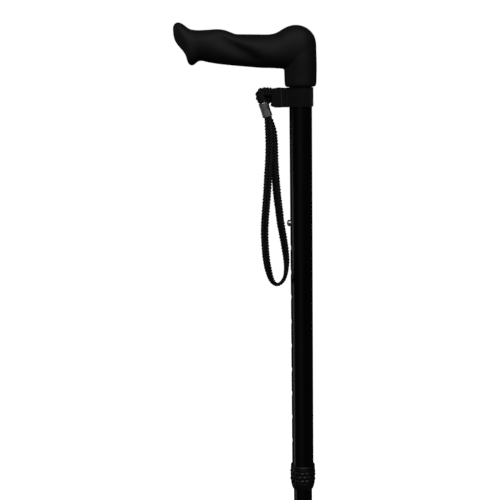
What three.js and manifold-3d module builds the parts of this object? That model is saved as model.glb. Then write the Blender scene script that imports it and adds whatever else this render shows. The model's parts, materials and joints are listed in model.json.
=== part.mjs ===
// Quad walking cane: a telescoping aluminium shaft with a palm grip, wrist strap and four-footed base.
// Millimetres, +Z up, floor at z = 0. The grip's nose points along -X and the strap hangs on that side.
import * as THREE from 'three';
import { mergeVertices } from 'three/addons/utils/BufferGeometryUtils.js';
import Module from 'manifold-3d';

const wasm = await Module();
wasm.setup();

// ---------- driving dimensions ----------
const SHAFT_X = 10.5; // the shaft stands this far right of the middle of the whole cane
const GAP = 0.3; // clearance between pieces that touch on the real cane
const FACETS = 24; // sides of a round tube

const TUBE = {
  upperR: 11.1, // 7/8 in tube
  upperBore: 9.9,
  upperBottom: 272,
  upperTop: 722,
  lowerR: 9.525, // 3/4 in tube
  lowerBore: 8.325,
  lowerBottom: 79,
  lowerTop: 577,
};
const HOLES = { count: 10, pitch: 25.4, top: 543.8, r: 3.5 };
const BUTTON = { r: 3.2, inner: 7.4, outer: 14.4, crown: 1.2 };
const SPRING = { halfWidth: 7.1, sheet: 0.7, depth: 8, low: 512, high: 556, farHigh: 545 };
const SOCKET = { r: 15.5, bottom: 677.6, boreTop: 722.4 };
const SCREW = { z: 686, r: 1.9, headR: 4, tipY: 3, headY: 15.9 };
const NUT = { top: 287.3, bottom: 263.3, bore: 12.1, ribs: 24, ribLow: 271.8, ribHigh: 284.4 };
const BAND = {
  inner: 11.4,
  sheet: 1.1,
  top: 677.2,
  bottom: 658,
  openAngle: 2.45, // radians to either side, where the webbing leaves the tube
  pinchX: -16.4, // where its two layers are sewn together
  pocketX: -21.4,
  mouthX: -29.2,
  pocket: 5.2, // half the pocket's inner width
};
const CORD = { halfWidth: 4.2, halfThick: 1.9, eyeHalfWidth: 2.6 };
const FERRULE = { low: [-32.3, 649.3], high: [-36.5, 663], halfX: 4.9, halfY: 5.1, wall: 0.55 };
const FOOT = { x: 86, y: 60, r: 15.5 };
const LEG = { r: 8, wall: 1.5, z: 68, y: 13, crown: 42, kneeZ: 45, bend: 15, bottom: 8.5 };
const HUB = { halfX: 26, halfY: 25, low: 69, high: 83, bossR: 14.2, bossTop: 126 };
const CLAMP = { low: 56.5, high: 67 };
const BOLT = { x: 18, r: 3, head: 5.2, headHigh: 3.4, nutR: 5.8, nutHigh: 5 };

// ---------- materials ----------
const finish = (color, roughness, metalness = 0) =>
  new THREE.MeshStandardMaterial({ color, roughness, metalness });
const gripPlastic = finish(0x0e0e0f, 0.6);
const blackPaint = finish(0x060607, 0.22);
const blackPlastic = finish(0x0b0b0c, 0.45);
const naturalPlastic = finish(0xd8d6cc, 0.5);
const webbing = finish(0x08080a, 0.9);
const bareMetal = finish(0xc6c8ca, 0.3, 1);
const rubber = finish(0x18181a, 0.85);

// ---------- helpers ----------
const cane = new THREE.Group();
cane.name = 'quad_cane';
cane.position.x = SHAFT_X;

function addPiece(name, geometry, material) {
  const mesh = new THREE.Mesh(geometry, material);
  mesh.name = name;
  cane.add(mesh);
  return mesh;
}

function toSolid(geometry) {
  const plain = geometry.clone();
  plain.deleteAttribute('normal');
  plain.deleteAttribute('uv');
  const merged = mergeVertices(plain, 1e-4);
  const corners = [...merged.index.array];
  const triangles = [];
  for (let i = 0; i < corners.length; i += 3) {
    const [a, b, c] = corners.slice(i, i + 3);
    if (a !== b && b !== c && c !== a) triangles.push(a, b, c); // turned ends fold flat on the axis
  }
  return new wasm.Manifold(
    new wasm.Mesh({
      numProp: 3,
      vertProperties: new Float32Array(merged.attributes.position.array),
      triVerts: new Uint32Array(triangles),
    }),
  );
}

function toGeometry(solid) {
  const mesh = solid.getMesh();
  const geometry = new THREE.BufferGeometry();
  geometry.setAttribute('position', new THREE.BufferAttribute(mesh.vertProperties, 3));
  geometry.setIndex(new THREE.BufferAttribute(mesh.triVerts, 1));
  geometry.computeVertexNormals();
  return geometry;
}

const cut = (geometry, ...tools) =>
  toGeometry(tools.reduce((solid, tool) => solid.subtract(toSolid(tool)), toSolid(geometry)));

const join = (geometry, ...others) =>
  toGeometry(others.reduce((solid, other) => solid.add(toSolid(other)), toSolid(geometry)));

// A turned shape about Z from [radius, z] pairs that start and end on the axis.
function turned(outline, facets = FACETS) {
  const points = outline.map(([r, z]) => new THREE.Vector2(r, z));
  return new THREE.LatheGeometry(points, facets).rotateX(Math.PI / 2);
}

// A turned ring about Z from [radius, z] pairs that go round its section.
const turnedRing = (outline, facets = FACETS) => turned([...outline, outline[0]], facets);

const sleeve = (inner, outer, low, high, facets = FACETS) =>
  turnedRing([[inner, low], [outer, low], [outer, high], [inner, high]], facets);

const plug = (r, low, high, facets = FACETS) =>
  turned([[0, low], [r, low], [r, high], [0, high]], facets);

const alongX = (r, from, to, y, z, facets = 12) =>
  new THREE.CylinderGeometry(r, r, Math.abs(to - from), facets)
    .rotateZ(Math.PI / 2)
    .translate((from + to) / 2, y, z);

const alongY = (r, from, to, x, z, facets = 12) =>
  new THREE.CylinderGeometry(r, r, Math.abs(to - from), facets).translate(x, (from + to) / 2, z);

const alongZ = (r, from, to, x, y, facets = 12) =>
  new THREE.CylinderGeometry(r, r, Math.abs(to - from), facets)
    .rotateX(Math.PI / 2)
    .translate(x, y, (from + to) / 2);

const block = (halfX, halfY, low, high) =>
  new THREE.BoxGeometry(2 * halfX, 2 * halfY, high - low).translate(0, 0, (low + high) / 2);

// A flat outline in the XZ plane, given depth along Y about y = 0.
const slab = (shape, depth, curveSegments = 8) =>
  new THREE.ExtrudeGeometry(shape, { depth, bevelEnabled: false, curveSegments })
    .translate(0, 0, -depth / 2)
    .rotateX(Math.PI / 2);

const shapeOf = (points) => new THREE.Shape(points.map(([x, y]) => new THREE.Vector2(x, y)));

// ---------- palm grip ----------
// Stations from nose to dome: [top x, top z, bottom x, bottom z, half width].
const GRIP_STATIONS = [
  [-122.5, 732.9, -122.5, 732.9, 0],
  [-122.2, 737.5, -122, 727.4, 4.5],
  [-119.9, 740.1, -120.6, 722.8, 7.5],
  [-117, 740.8, -117.6, 718.3, 9.3],
  [-112.8, 739, -113.6, 713.6, 11.3],
  [-108.5, 735.6, -110.9, 709, 12.3],
  [-105.6, 734.1, -109.4, 703.7, 12.8],
  [-103.8, 733.7, -107.6, 700.6, 13],
  [-102.2, 733.4, -105, 699.6, 13.2],
  [-100.2, 733.2, -102.2, 700.9, 13.3],
  [-97.5, 733.1, -99.5, 703.2, 13.5],
  [-93.5, 733.2, -96, 704, 13.8],
  [-87, 733.5, -89, 702.4, 14.3],
  [-79.6, 733.8, -80, 700.8, 15],
  [-72.5, 732.8, -72, 699.8, 15.8],
  [-66, 730.3, -65, 699, 16.6],
  [-61.5, 728.9, -58, 698.3, 17.3],
  [-50, 728.5, -48, 697.3, 18.6],
  [-38, 728.2, -38, 696.4, 19.3],
  [-29, 728.2, -29, 696.1, 19.4],
  [-22.5, 729.8, -22, 695.6, 19],
  [-17, 733, -15, 695.2, 18.5],
  [-10.5, 735.8, -9, 695.1, 18.2],
  [-4, 736.7, -3, 695, 18],
  [3.5, 735.1, 4, 695.5, 16.7],
  [9.5, 731.2, 9.5, 697, 13.1],
  [13.5, 726, 13.2, 701, 8],
  [15.2, 720, 15, 707, 3.7],
  [15.5, 714, 15.5, 714, 0],
];
const PALM_HALF_WIDTH = 19.4;
const GRIP_SQUARENESS = 2.3; // exponent of a section's rounded outline
const CREST = { from: [-80.5, 734.3], to: [-36, 707.1] }; // the twisted crest on the near side
const FINGER_GROOVE = { z: 713, low: -98, high: -34, depth: 1.8, reach: 6 };

const bump = (value, reach) => Math.exp(-((value / reach) ** 2));
const ramp = (value, low, high) => THREE.MathUtils.smoothstep(value, low, high);

// How far the near side stands in at x, z: a thumb channel under the crest, a swell below it.
function nearHollow(x, z) {
  const [ax, az] = CREST.from;
  const run = new THREE.Vector2(CREST.to[0] - ax, CREST.to[1] - az);
  const length = run.length();
  run.normalize();
  const along = (x - ax) * run.x + (z - az) * run.y;
  const above = (z - az) * run.x - (x - ax) * run.y;
  const ends = ramp(along, -6, 12) * (1 - ramp(along, length - 8, length + 10));
  const channel = 3.6 * bump(above + 6, above > -6 ? 4.6 : 8) * ends;
  const swell = -1.2 * bump(above + 21, 7) * bump(along - 24, 20);
  const shelf = 2.2 * ramp(above, 3, 20) * ramp(x, -72, -50) * (1 - ramp(x, -34, -12));
  const undercut = 4.2 * ramp(726 - z, 0, 30) * ramp(-x, 52, 76) * (1 - ramp(-x, 96, 108));
  return channel + swell + shelf + undercut;
}

function farHollow(x, z) {
  const { low, high, depth, reach } = FINGER_GROOVE;
  const ends = ramp(x, low, low + 14) * (1 - ramp(x, high - 14, high));
  return depth * bump(z - FINGER_GROOVE.z, reach) * ends;
}

// The grip starts as a ball whose rings, from pole to pole, are moved onto the stations.
function gripBody() {
  const rings = GRIP_STATIONS.length - 1;
  const ball = new THREE.SphereGeometry(1, FACETS, rings);
  const positions = ball.attributes.position;
  for (let i = 0; i < positions.count; i += 1) {
    const polar = Math.acos(THREE.MathUtils.clamp(positions.getY(i), -1, 1));
    const ring = Math.round((polar / Math.PI) * rings);
    const [topX, topZ, bottomX, bottomZ, halfWidth] = GRIP_STATIONS[ring];
    const angle = Math.atan2(positions.getZ(i), positions.getX(i));
    const round = (v) => Math.sign(v) * Math.abs(v) ** (2 / GRIP_SQUARENESS);
    const up = round(Math.sin(angle));
    const side = round(Math.cos(angle));
    const x = (topX + bottomX) / 2 + (up * (topX - bottomX)) / 2;
    const z = (topZ + bottomZ) / 2 + (up * (topZ - bottomZ)) / 2;
    const hollow = side < 0 ? nearHollow(x, z) : farHollow(x, z);
    positions.setXYZ(i, x, side * halfWidth * (1 - hollow / PALM_HALF_WIDTH), z);
  }
  return ball;
}

function makeGrip() {
  const neck = turned([
    [0, SOCKET.bottom],
    [SOCKET.r - 1.8, SOCKET.bottom],
    [SOCKET.r - 0.3, SOCKET.bottom + 1.8],
    [SOCKET.r, SOCKET.bottom + 5],
    [SOCKET.r + 0.4, SOCKET.bottom + 18.4],
    [SOCKET.r, SOCKET.bottom + 36],
    [0, SOCKET.bottom + 44],
  ]);
  const bore = plug(TUBE.upperR + GAP, SOCKET.bottom - 5, SOCKET.boreTop);
  const shankHole = alongY(SCREW.r + GAP, 8, 25, 0, SCREW.z);
  const headSeat = alongY(SCREW.headR + GAP, SCREW.headY - 2.9, 25, 0, SCREW.z, 16);
  addPiece('handle_grip', cut(join(gripBody(), neck), bore, shankHole, headSeat), gripPlastic);
}

function makeGripFixings() {
  const pilot = alongY(SCREW.r + GAP, SCREW.tipY - 2, 12, 0, SCREW.z);
  const core = plug(TUBE.upperBore - GAP, SCREW.z - 5, TUBE.upperTop - 1);
  addPiece('handle_plug', cut(core, pilot), naturalPlastic);

  const screw = new THREE.LatheGeometry(
    [
      [0, SCREW.tipY],
      [SCREW.r * 0.5, SCREW.tipY + 0.5],
      [SCREW.r, SCREW.tipY + 3],
      [SCREW.r, SCREW.headY - 2.6],
      [SCREW.headR, SCREW.headY - 1.4],
      [SCREW.headR, SCREW.headY - 0.7],
      [0, SCREW.headY - 0.3],
    ].map(([r, y]) => new THREE.Vector2(r, y)),
    16,
  ).translate(0, 0, SCREW.z);
  addPiece('handle_screw', screw, bareMetal);
}

// ---------- shaft ----------
function makeUpperTube() {
  const holes = Array.from({ length: HOLES.count }, (_, k) =>
    alongX(HOLES.r, -TUBE.upperR - 2, -TUBE.upperBore + 4, 0, HOLES.top - k * HOLES.pitch, 10),
  );
  const screwHole = alongY(SCREW.r + GAP, 6, 14, 0, SCREW.z);
  const tube = sleeve(TUBE.upperBore, TUBE.upperR, TUBE.upperBottom, TUBE.upperTop);
  addPiece('upper_tube', cut(tube, ...holes, screwHole), blackPaint);
}

function makeLowerTube() {
  const tube = sleeve(TUBE.lowerBore, TUBE.lowerR, TUBE.lowerBottom, TUBE.lowerTop);
  const buttonHole = alongX(HOLES.r, -TUBE.lowerR - 2, -TUBE.lowerBore + 4, 0, HOLES.top);
  addPiece('lower_tube', cut(tube, buttonHole), blackPaint);

  const bush = turnedRing([
    [3, TUBE.lowerTop - 9],
    [TUBE.lowerBore - GAP, TUBE.lowerTop - 9],
    [TUBE.lowerBore - GAP, TUBE.lowerTop + GAP],
    [TUBE.upperBore - 0.2, TUBE.lowerTop + GAP],
    [TUBE.upperBore - 0.2, TUBE.lowerTop + 5],
    [TUBE.upperBore - 1, TUBE.lowerTop + 6],
    [3, TUBE.lowerTop + 6],
  ]);
  addPiece('guide_bush', bush, naturalPlastic);
}

// ---------- height button and its hairpin spring ----------
function makeButton() {
  const button = new THREE.LatheGeometry(
    [
      [0, BUTTON.inner],
      [BUTTON.r, BUTTON.inner],
      [BUTTON.r, BUTTON.outer - BUTTON.crown],
      [BUTTON.r * 0.8, BUTTON.outer - BUTTON.crown * 0.35],
      [BUTTON.r * 0.45, BUTTON.outer - BUTTON.crown * 0.08],
      [0, BUTTON.outer],
    ].map(([r, y]) => new THREE.Vector2(r, y)),
    16,
  )
    .rotateZ(Math.PI / 2)
    .translate(0, 0, HOLES.top);
  addPiece('height_button', button, bareMetal);

  const { halfWidth, sheet, low, high, farHigh, depth } = SPRING;
  const hairpin = new THREE.Shape();
  hairpin.moveTo(-halfWidth, high);
  hairpin.lineTo(-halfWidth, low);
  hairpin.absarc(0, low, halfWidth, Math.PI, 2 * Math.PI, false);
  hairpin.lineTo(halfWidth, farHigh);
  hairpin.lineTo(halfWidth - sheet, farHigh);
  hairpin.lineTo(halfWidth - sheet, low);
  hairpin.absarc(0, low, halfWidth - sheet, 0, Math.PI, true);
  hairpin.lineTo(-halfWidth + sheet, high);
  hairpin.closePath();
  addPiece('button_spring', slab(hairpin, depth, 6), bareMetal);
}

// ---------- locking collar ----------
function makeLock() {
  const collar = turnedRing([
    [TUBE.upperR + 0.15, 274.4],
    [NUT.bore - 0.25, 274.4],
    [NUT.bore - 0.25, NUT.top + GAP],
    [12.5, NUT.top + GAP],
    [12.3, 289.3],
    [11.7, 290],
    [TUBE.upperR + 0.15, 290],
  ]);
  addPiece('threaded_collar', collar, blackPlastic);

  const ring = turnedRing([
    [TUBE.lowerR + 0.2, 265.3],
    [10.4, 265.3],
    [11.3, 271.5],
    [TUBE.lowerR + 0.2, 271.5],
  ]);
  const slit = new THREE.BoxGeometry(8, 2, 12).translate(11, 0, 268);
  addPiece('grip_ring', cut(ring, slit), naturalPlastic);

  const nut = turnedRing([
    [9.95, NUT.bottom],
    [10.5, NUT.bottom],
    [11.3, 265.2],
    [12.3, 268.6],
    [12.7, NUT.ribLow],
    [12.7, NUT.ribHigh],
    [12.4, NUT.top],
    [NUT.bore, NUT.top],
    [NUT.bore, 273.3],
    [11.6, 272.6],
    [10.7, 264.9],
    [9.95, 264.6],
  ]);
  // Ribs stand a little proud all round, each a slim bar sunk into the wall.
  const ribs = Array.from({ length: NUT.ribs }, (_, k) =>
    new THREE.BoxGeometry(0.7, 1.4, NUT.ribHigh - NUT.ribLow)
      .translate(12.6, 0, (NUT.ribHigh + NUT.ribLow) / 2)
      .rotateZ(((k + 0.5) * 2 * Math.PI) / NUT.ribs),
  );
  addPiece('lock_nut', join(nut, ...ribs), blackPlastic);
}

// ---------- wrist strap ----------
// The webbing lies round the tube, is sewn flat beside it, then opens into a pocket that holds the cord.
function makeBand() {
  const { inner, sheet, top, bottom, openAngle, pinchX, pocketX, mouthX, pocket } = BAND;
  const wall = (shape) =>
    new THREE.ExtrudeGeometry(shape, { depth: top - bottom + 10, bevelEnabled: false, curveSegments: 7 })
      .translate(0, 0, bottom - 5);
  const leaveX = Math.cos(openAngle);
  const leaveY = Math.sin(openAngle);

  const outside = new THREE.Shape();
  const r = inner + sheet;
  const half = pocket + sheet;
  const seam = sheet + 0.3;
  outside.absarc(0, 0, r, -openAngle, openAngle, false);
  outside.bezierCurveTo(pinchX + 3, r * 0.42, pinchX + 1.6, seam, pinchX, seam);
  outside.bezierCurveTo(pocketX + 3.4, seam, pocketX + 2.8, half, pocketX, half);
  outside.lineTo(mouthX, half);
  outside.lineTo(mouthX, -half);
  outside.lineTo(pocketX, -half);
  outside.bezierCurveTo(pocketX + 2.8, -half, pocketX + 3.4, -seam, pinchX, -seam);
  outside.bezierCurveTo(pinchX + 1.6, -seam, pinchX + 3, -r * 0.42, r * leaveX, -r * leaveY);

  const tubeSpace = new THREE.Shape();
  tubeSpace.absarc(0, 0, inner, -openAngle, openAngle, false);
  tubeSpace.quadraticCurveTo(pinchX + 3.8, 3.4, pinchX + 1.2, 0.2);
  tubeSpace.lineTo(pinchX + 1.2, -0.2);
  tubeSpace.quadraticCurveTo(pinchX + 3.8, -3.4, inner * leaveX, -inner * leaveY);

  const pocketSpace = new THREE.Shape();
  pocketSpace.moveTo(mouthX - 2, -pocket);
  pocketSpace.lineTo(pocketX, -pocket);
  pocketSpace.bezierCurveTo(pocketX + 2.1, -pocket, pocketX + 2.6, -0.8, pinchX - 1.6, -0.2);
  pocketSpace.lineTo(pinchX - 1.6, 0.2);
  pocketSpace.bezierCurveTo(pocketX + 2.6, 0.8, pocketX + 2.1, pocket, pocketX, pocket);
  pocketSpace.lineTo(mouthX - 2, pocket);
  pocketSpace.closePath();

  const sideView = slab(
    shapeOf([
      [14, bottom + 0.4],
      [14, top],
      [mouthX + 3.2, top],
      [mouthX + 2.8, bottom + 13.5],
      [mouthX, bottom + 4],
      [mouthX + 0.8, bottom + 1.4],
      [pocketX + 1, bottom],
      [-12, bottom],
    ]),
    40,
  );
  const band = toSolid(wall(outside))
    .subtract(toSolid(wall(tubeSpace)))
    .subtract(toSolid(wall(pocketSpace)))
    .intersect(toSolid(sideView));
  addPiece('strap_band', toGeometry(band), webbing);
}

const curveOf = (points) => new THREE.CatmullRomCurve3(points.map((p) => new THREE.Vector3(...p)));

// A flat braided cord along a route, given its half sizes in the first and second side directions.
function cordTube(route, halfFirst, halfSecond, steps) {
  const reach = 1 / Math.cos(Math.PI / 8);
  const section = shapeOf(
    Array.from({ length: 8 }, (_, k) => {
      const angle = ((k + 0.5) * Math.PI) / 4;
      return [halfFirst * reach * Math.cos(angle), halfSecond * reach * Math.sin(angle)];
    }),
  );
  return new THREE.ExtrudeGeometry(section, { steps, extrudePath: curveOf(route), bevelEnabled: false });
}

// Routes as [x, y, z]. The long one leaves the ferrule's lower mouth, hangs in a loop and comes back up;
// the short one leaves the upper mouth, turns inside the band's pocket and comes back down.
const LOOP_ROUTE = [
  [-32.2, -2.25, 648.95],
  [-31.7, -2.4, 645],
  [-31.2, -2.8, 637],
  [-30.9, -3.2, 627],
  [-31.1, -3.7, 615],
  [-31.8, -4.6, 603],
  [-32.8, -5.6, 591],
  [-33.7, -6.7, 578],
  [-34.9, -7.8, 564],
  [-36.2, -8.8, 550],
  [-36.9, -9.4, 536],
  [-36.5, -9.4, 522],
  [-35.5, -8.8, 509],
  [-33.4, -7.4, 497],
  [-30.3, -4.8, 486.8],
  [-26, -1.4, 481.7],
  [-21.3, 2.2, 481.9],
  [-17.3, 5.4, 486.4],
  [-15.3, 7.6, 494.4],
  [-15, 8.8, 505],
  [-16.3, 9.2, 517],
  [-18.3, 8.8, 530],
  [-20.5, 8, 543],
  [-21.9, 7.1, 556],
  [-23.5, 6, 569],
  [-24.6, 5, 582],
  [-25.6, 4.1, 595],
  [-26.2, 3.5, 608],
  [-26.4, 3.1, 621],
  [-27.3, 2.7, 633],
  [-29.7, 2.4, 642.5],
  [-32.2, 2.25, 648.95],
];
const EYE_ROUTE = [
  [-36.6, -2.25, 663.35],
  [-38.4, -2.3, 666.2],
  [-39.9, -2.3, 669.3],
  [-39.4, -2.3, 672],
  [-37.4, -2.3, 673.6],
  [-34.5, -2.2, 673.7],
  [-31, -2.2, 673.3],
  [-27.2, -2.1, 672.8],
  [-24.8, -1.4, 671.9],
  [-24, 0, 670.8],
  [-24.8, 1.4, 669.7],
  [-27.2, 2.1, 668.3],
  [-30, 2.2, 667.5],
  [-33, 2.3, 667],
  [-35.6, 2.3, 666.2],
  [-36.8, 2.3, 664.7],
  [-36.6, 2.25, 663.35],
];

function makeStrapCord() {
  addPiece('wrist_cord', cordTube(LOOP_ROUTE, CORD.halfThick, CORD.halfWidth, 62), webbing);
  addPiece('eye_cord', cordTube(EYE_ROUTE, CORD.halfThick, CORD.eyeHalfWidth, 32), webbing);

  const roundRect = (halfX, halfY, corner) => {
    const shape = new THREE.Shape();
    shape.absarc(halfX - corner, halfY - corner, corner, 0, Math.PI / 2, false);
    shape.absarc(corner - halfX, halfY - corner, corner, Math.PI / 2, Math.PI, false);
    shape.absarc(corner - halfX, corner - halfY, corner, Math.PI, 1.5 * Math.PI, false);
    shape.absarc(halfX - corner, corner - halfY, corner, 1.5 * Math.PI, 2 * Math.PI, false);
    return shape;
  };
  const { low, high, halfX, halfY, wall } = FERRULE;
  const length = Math.hypot(high[0] - low[0], high[1] - low[1]);
  const outline = roundRect(halfX, halfY, 2.4);
  outline.holes.push(roundRect(halfX - wall, halfY - wall, 1.9));
  const ferrule = new THREE.ExtrudeGeometry(outline, {
    depth: length,
    bevelEnabled: false,
    curveSegments: 3,
  });
  ferrule.rotateY(Math.atan2(high[0] - low[0], high[1] - low[1])).translate(low[0], 0, low[1]);
  addPiece('cord_ferrule', ferrule, bareMetal);
}

// ---------- base ----------
// A path of straight runs joined by smooth bends, each bend taking up to `reach` off its two runs.
function bentPath(points, reach) {
  const corners = points.map((p) => new THREE.Vector3(...p));
  const path = new THREE.CurvePath();
  let from = corners[0];
  for (let i = 1; i < corners.length - 1; i += 1) {
    const before = corners[i].clone().add(
      corners[i - 1].clone().sub(corners[i]).setLength(reach),
    );
    const after = corners[i].clone().add(
      corners[i + 1].clone().sub(corners[i]).setLength(reach),
    );
    path.add(new THREE.LineCurve3(from, before));
    path.add(new THREE.QuadraticBezierCurve3(before, corners[i], after));
    from = after;
  }
  path.add(new THREE.LineCurve3(from, corners[corners.length - 1]));
  return path;
}

function makeLegs() {
  const section = new THREE.Shape();
  section.absarc(0, 0, LEG.r, 0, 2 * Math.PI, false);
  const bore = new THREE.Path();
  bore.absarc(0, 0, LEG.r - LEG.wall, 0, 2 * Math.PI, true);
  section.holes.push(bore);
  for (const [name, side] of [['leg_tube_near', -1], ['leg_tube_far', 1]]) {
    const path = bentPath(
      [
        [-FOOT.x, side * FOOT.y, LEG.bottom],
        [-FOOT.x, side * FOOT.y, LEG.kneeZ],
        [-LEG.crown, side * LEG.y, LEG.z],
        [LEG.crown, side * LEG.y, LEG.z],
        [FOOT.x, side * FOOT.y, LEG.kneeZ],
        [FOOT.x, side * FOOT.y, LEG.bottom],
      ],
      LEG.bend,
    );
    const tube = new THREE.ExtrudeGeometry(section, {
      steps: 30,
      extrudePath: path,
      curveSegments: 5,
      bevelEnabled: false,
    });
    const boltHoles = [-BOLT.x, BOLT.x].map((x) =>
      alongZ(BOLT.r + GAP, LEG.z - LEG.r - 3, LEG.z + LEG.r + 3, x, side * LEG.y),
    );
    addPiece(name, cut(tube, ...boltHoles), blackPaint);
  }
}

function makeFeet() {
  const tip = [
    [0, 0],
    [FOOT.r - 1, 0],
    [FOOT.r, 1],
    [FOOT.r, 5],
    [12.4, 11],
    [11.2, 14],
    [10.6, 27],
    [LEG.r + GAP, 28],
    [LEG.r + GAP, 6.8],
    [0, 6.8],
  ];
  let number = 1;
  for (const x of [-FOOT.x, FOOT.x]) {
    for (const y of [-FOOT.y, FOOT.y]) {
      addPiece(`foot_tip_${number}`, turned(tip, 16).translate(x, y, 0), rubber);
      addPiece(`tip_washer_${number}`, plug(LEG.r - 0.2, 7, 8.2, 16).translate(x, y, 0), bareMetal);
      number += 1;
    }
  }
}

const grooves = (radius) =>
  [-1, 1].map((side) => alongX(radius, -60, 60, side * LEG.y, LEG.z, 24));

const boltHolesThrough = (low, high) =>
  [-LEG.y, LEG.y].flatMap((y) =>
    [-BOLT.x, BOLT.x].map((x) => alongZ(BOLT.r + GAP, low, high, x, y)),
  );

function makeHub() {
  const gussetOutline = shapeOf([
    [10, HUB.high - 1],
    [HUB.halfX - 3, HUB.high - 1],
    [HUB.halfX - 3, HUB.high + 1.5],
    [13.5, HUB.bossTop - 14],
    [10, HUB.bossTop - 14],
  ]);
  const gussets = [0, 1, 2, 3].map((k) => {
    const reach = k % 2 ? HUB.halfY / HUB.halfX : 1;
    return slab(gussetOutline, 4).scale(reach, 1, 1).rotateZ((k * Math.PI) / 2);
  });
  const boss = turned([
    [0, HUB.high - 1],
    [HUB.bossR + 2, HUB.high - 1],
    [HUB.bossR + 0.6, HUB.high + 4],
    [HUB.bossR, HUB.bossTop - 8],
    [HUB.bossR - 0.4, HUB.bossTop - 1],
    [HUB.bossR - 1.4, HUB.bossTop],
    [0, HUB.bossTop],
  ]);
  const plate = join(block(HUB.halfX, HUB.halfY, HUB.low, HUB.high), boss, ...gussets);
  const stemBore = plug(TUBE.lowerR + GAP, TUBE.lowerBottom - GAP, HUB.bossTop + 5);
  const boltBore = alongZ(BOLT.r + GAP, HUB.low - 5, HUB.high, 0, 0);
  addPiece(
    'base_hub',
    cut(plate, ...grooves(LEG.r + GAP), stemBore, boltBore, ...boltHolesThrough(HUB.low - 5, HUB.high + 5)),
    blackPlastic,
  );

  const clamp = block(HUB.halfX, HUB.halfY, CLAMP.low, CLAMP.high);
  const stemHole = alongZ(BOLT.r + GAP, CLAMP.low - 5, CLAMP.high + 5, 0, 0);
  addPiece(
    'clamp_plate',
    cut(clamp, ...grooves(LEG.r + GAP), stemHole, ...boltHolesThrough(CLAMP.low - 5, CLAMP.high + 5)),
    blackPlastic,
  );
}

function makeBaseFixings() {
  const stemPlug = sleeve(BOLT.r + GAP, TUBE.lowerBore - GAP, TUBE.lowerBottom + GAP, 104);
  addPiece('stem_plug', stemPlug, naturalPlastic);

  const headed = (low, high) =>
    turned([
      [0, low],
      [BOLT.r, low],
      [BOLT.r, high],
      [BOLT.head, high],
      [BOLT.head, high + BOLT.headHigh * 0.45],
      [BOLT.head * 0.7, high + BOLT.headHigh],
      [0, high + BOLT.headHigh],
    ], 12);
  const stemBolt = headed(-100, -CLAMP.low + GAP).rotateX(Math.PI);
  addPiece('stem_bolt', stemBolt, bareMetal);

  const nutTop = CLAMP.low - GAP;
  const hexNut = cut(
    alongZ(BOLT.nutR, nutTop - BOLT.nutHigh, nutTop, 0, 0, 6),
    alongZ(BOLT.r + GAP, nutTop - BOLT.nutHigh - 1, nutTop + 1, 0, 0),
  );
  let number = 1;
  for (const x of [-BOLT.x, BOLT.x]) {
    for (const y of [-LEG.y, LEG.y]) {
      const bolt = headed(CLAMP.low - BOLT.nutHigh - 1.5, HUB.high + GAP);
      addPiece(`leg_bolt_${number}`, bolt.translate(x, y, 0), bareMetal);
      addPiece(`leg_nut_${number}`, hexNut.clone().translate(x, y, 0), bareMetal);
      number += 1;
    }
  }
}

makeGrip();
makeGripFixings();
makeUpperTube();
makeLowerTube();
makeButton();
makeLock();
makeBand();
makeStrapCord();
makeLegs();
makeFeet();
makeHub();
makeBaseFixings();

export default cane;
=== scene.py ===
"""Quad walking cane: the detailed visual model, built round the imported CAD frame.

Shapes are worked out in millimetres in the shaft's own frame (the shaft's axis at x = 0, the floor at
z = 0), and `metres` turns them into the row frame.
"""

import json
import math

import bmesh
import bpy
import numpy as np
from mathutils import Matrix, Vector


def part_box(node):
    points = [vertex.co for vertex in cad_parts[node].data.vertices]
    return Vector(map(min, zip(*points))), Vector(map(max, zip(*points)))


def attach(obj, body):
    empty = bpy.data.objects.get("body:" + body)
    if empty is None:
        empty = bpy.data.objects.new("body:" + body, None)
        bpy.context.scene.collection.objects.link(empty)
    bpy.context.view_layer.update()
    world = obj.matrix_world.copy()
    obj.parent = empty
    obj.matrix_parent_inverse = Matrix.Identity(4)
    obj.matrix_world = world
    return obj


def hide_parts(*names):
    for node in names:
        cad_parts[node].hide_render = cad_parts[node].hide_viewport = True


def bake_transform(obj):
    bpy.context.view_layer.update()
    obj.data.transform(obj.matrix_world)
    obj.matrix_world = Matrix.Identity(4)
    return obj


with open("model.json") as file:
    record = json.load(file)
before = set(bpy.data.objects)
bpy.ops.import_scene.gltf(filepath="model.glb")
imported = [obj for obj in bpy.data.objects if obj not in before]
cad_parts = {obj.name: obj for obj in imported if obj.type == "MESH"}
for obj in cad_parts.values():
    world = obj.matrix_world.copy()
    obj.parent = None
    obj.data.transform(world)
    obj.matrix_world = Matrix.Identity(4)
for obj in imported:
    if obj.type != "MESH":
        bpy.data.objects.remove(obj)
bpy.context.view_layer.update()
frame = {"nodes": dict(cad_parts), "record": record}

MM = 0.001
TAU = 2 * math.pi
tube_low, tube_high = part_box("upper_tube")
SHAFT = (tube_low.x + tube_high.x) / 2


def metres(points):
    return np.asarray(points, dtype=float) * MM + np.array([SHAFT, 0, 0])


def span(node):
    """(lowest corner, highest corner) of a CAD node in millimetres, in the shaft's frame."""
    low, high = (np.array(tuple(corner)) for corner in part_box(node))
    return (low - (SHAFT, 0, 0)) / MM, (high - (SHAFT, 0, 0)) / MM


# ---------- camera ----------
LOOK_DOWN = math.radians(10.3)
LEAN = 0.0159  # radians of roll
CAMERA_AWAY = 0.9868
SENSOR_WIDTH, LENS = 36, 70.85
TARGET = Vector((SHAFT - 0.05167, 0, 0.51705))


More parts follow.
